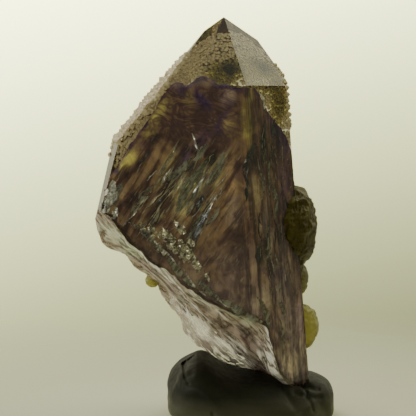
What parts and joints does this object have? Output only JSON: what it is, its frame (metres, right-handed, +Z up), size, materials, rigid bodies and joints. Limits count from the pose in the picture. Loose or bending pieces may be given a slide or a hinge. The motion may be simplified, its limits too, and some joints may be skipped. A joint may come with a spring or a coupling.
{
  "type": "amethyst crystal specimen",
  "caption": "Clear violet-brown quartz crystal with a pointed tip, a broken foot, a crust of small quartz points and green prehnite, standing in a lump of dark putty.",
  "frame": {"origin": "middle of the putty's flat underside, on the surface it stands on", "axes": "+Z up, roughly along the crystal; -Y to the front of its best side; +X to the right of it"},
  "size_m": [0.0407, 0.0292, 0.0682],
  "materials": {
    "amethyst": "glassy",
    "prehnite": "satin",
    "putty": "soft sheen"
  },
  "bodies": {
    "root": {"crystal": "amethyst", "prehnite_cluster": "prehnite", "prehnite_nodule": "prehnite", "prehnite_speck": "prehnite", "putty": "putty"}
  },
  "joints": []
}
